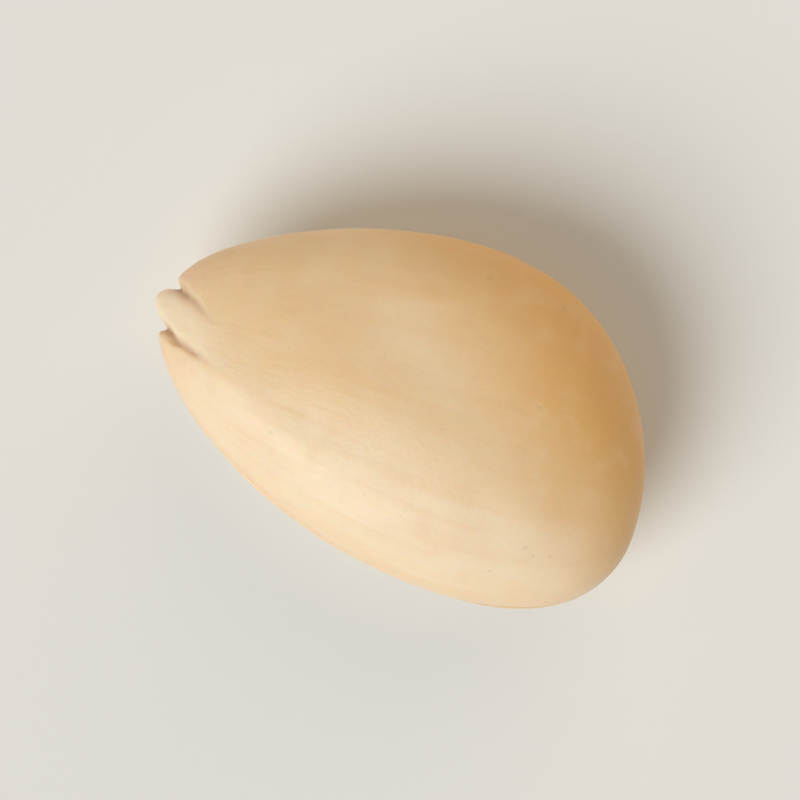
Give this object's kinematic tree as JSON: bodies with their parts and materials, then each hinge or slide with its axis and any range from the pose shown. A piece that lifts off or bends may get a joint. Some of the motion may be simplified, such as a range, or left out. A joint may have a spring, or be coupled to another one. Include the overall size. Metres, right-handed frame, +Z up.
{
  "type": "apricot kernel",
  "caption": "Peeled apricot kernel: a flattened, lopsided egg with a fine seam round its rim and the root tip between the ears at its point.",
  "frame": {"origin": "under the middle of the kernel's box, at the level of the small flat spot that it rests on", "axes": "+X to the pointed end, +Y across the width, +Z up through the thickness"},
  "size_m": [0.0194, 0.0128, 0.0073],
  "materials": {
    "kernel_flesh": "satin"
  },
  "bodies": {
    "root": {"kernel": "kernel_flesh"}
  },
  "joints": []
}
